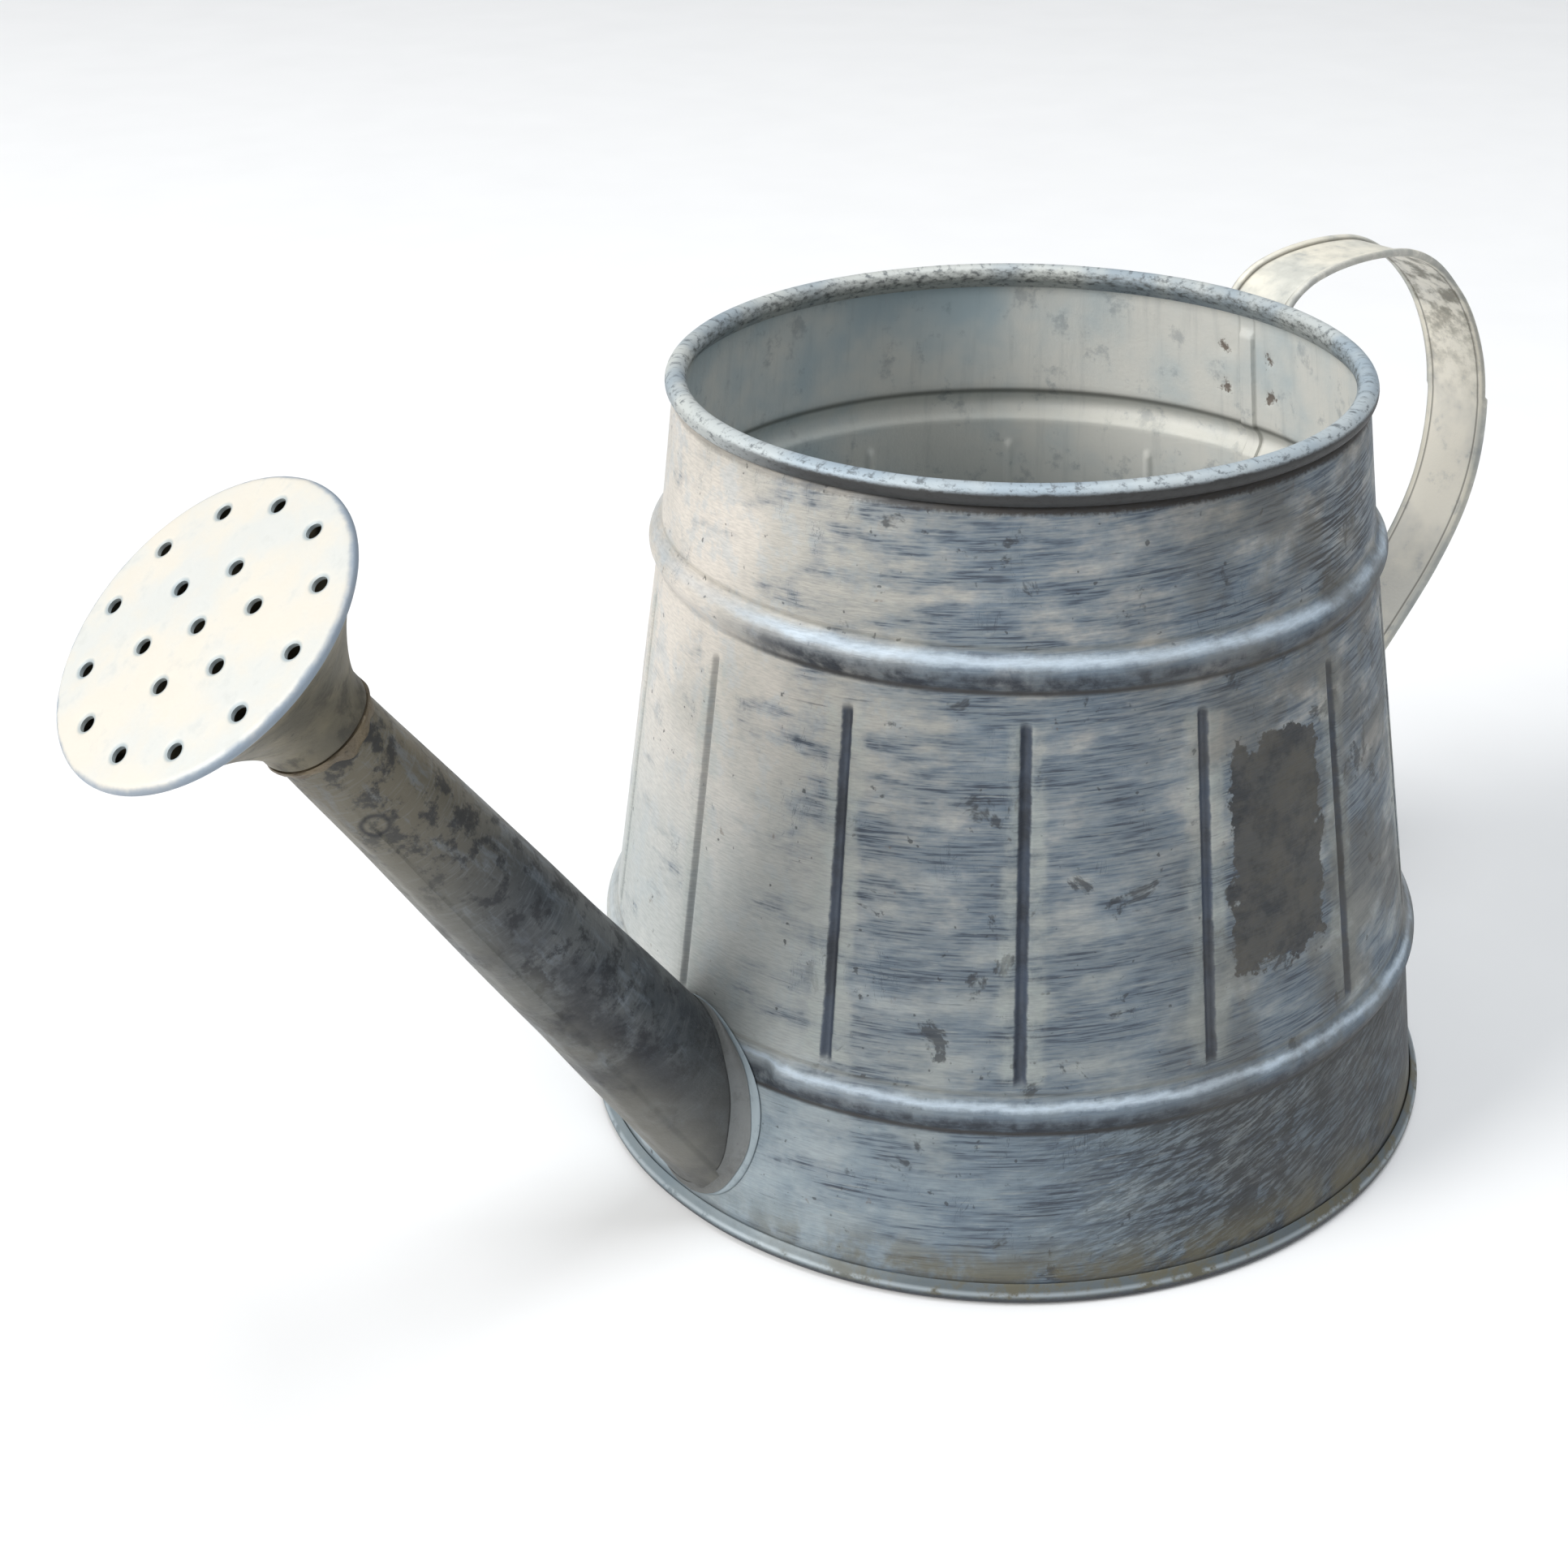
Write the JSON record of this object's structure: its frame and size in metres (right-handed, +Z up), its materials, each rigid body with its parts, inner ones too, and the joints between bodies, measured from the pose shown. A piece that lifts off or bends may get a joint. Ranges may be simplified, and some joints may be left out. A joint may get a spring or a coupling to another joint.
{
  "type": "watering can",
  "caption": "Tapered sheet-metal watering can with beaded and grooved body, wired rim, long slanting spout with round sprinkler rose, and a wide strap handle.",
  "frame": {"origin": "centre of the flat underside of the base plate", "axes": "+Z up along the can's axis, +X towards the handle, -X towards the spout"},
  "size_m": [0.3989, 0.2114, 0.1985],
  "materials": {
    "zinc_body": "weathered galvanised zinc with pale wash and dark brushed streaks",
    "zinc_dark": "darkened, blotchy weathered zinc",
    "zinc_olive": "olive-brown stained zinc",
    "zinc_pale": "cream-washed zinc, matt",
    "zinc_base": "dull weathered zinc",
    "solder": "dull smooth solder",
    "solder_brown": "brown-stained lumpy solder",
    "wire": "plain galvanised wire"
  },
  "bodies": {
    "root": {"body_wall": "zinc_body", "rim_wire": "wire", "base_plate": "zinc_base", "spout_tube": "zinc_dark", "spout_flange": "zinc_body", "spout_solder": "solder", "rose_cone": "zinc_olive", "neck_solder": "solder_brown", "rose_face": "zinc_pale", "handle_strap": "zinc_pale"}
  },
  "joints": []
}
